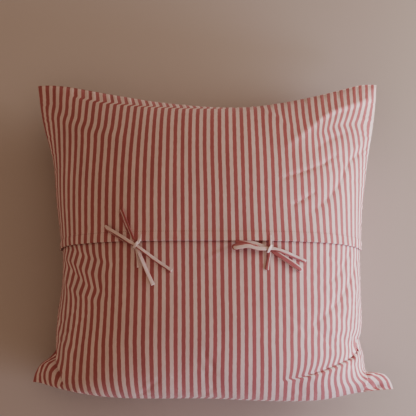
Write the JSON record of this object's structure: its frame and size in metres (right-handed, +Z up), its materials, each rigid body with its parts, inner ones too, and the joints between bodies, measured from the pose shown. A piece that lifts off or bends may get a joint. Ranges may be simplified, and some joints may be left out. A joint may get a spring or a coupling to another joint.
{
  "type": "filled euro sham cushion",
  "caption": "Filled square cushion in a striped cotton cover, lying on its front, its two overlapping back panels closed by self-cloth ties in bows.",
  "frame": {"origin": "on the surface the cushion lies on, below the middle of its box", "axes": "+X across the stripes, +Y towards the cushion's top edge, +Z up, out of the tied closure side"},
  "size_m": [0.6412, 0.5832, 0.2119],
  "materials": {
    "striped_cotton": "matt plain-weave cotton ticking in red and cream stripes",
    "tie_cotton": "matt folded strips of the same cotton ticking"
  },
  "bodies": {
    "root": {"cushion": "striped_cotton", "lower_back_panel": "striped_cotton", "upper_back_panel": "striped_cotton", "left_tie_over": "tie_cotton", "left_tie_under": "tie_cotton", "right_tie_over": "tie_cotton", "right_tie_under": "tie_cotton"}
  },
  "joints": []
}
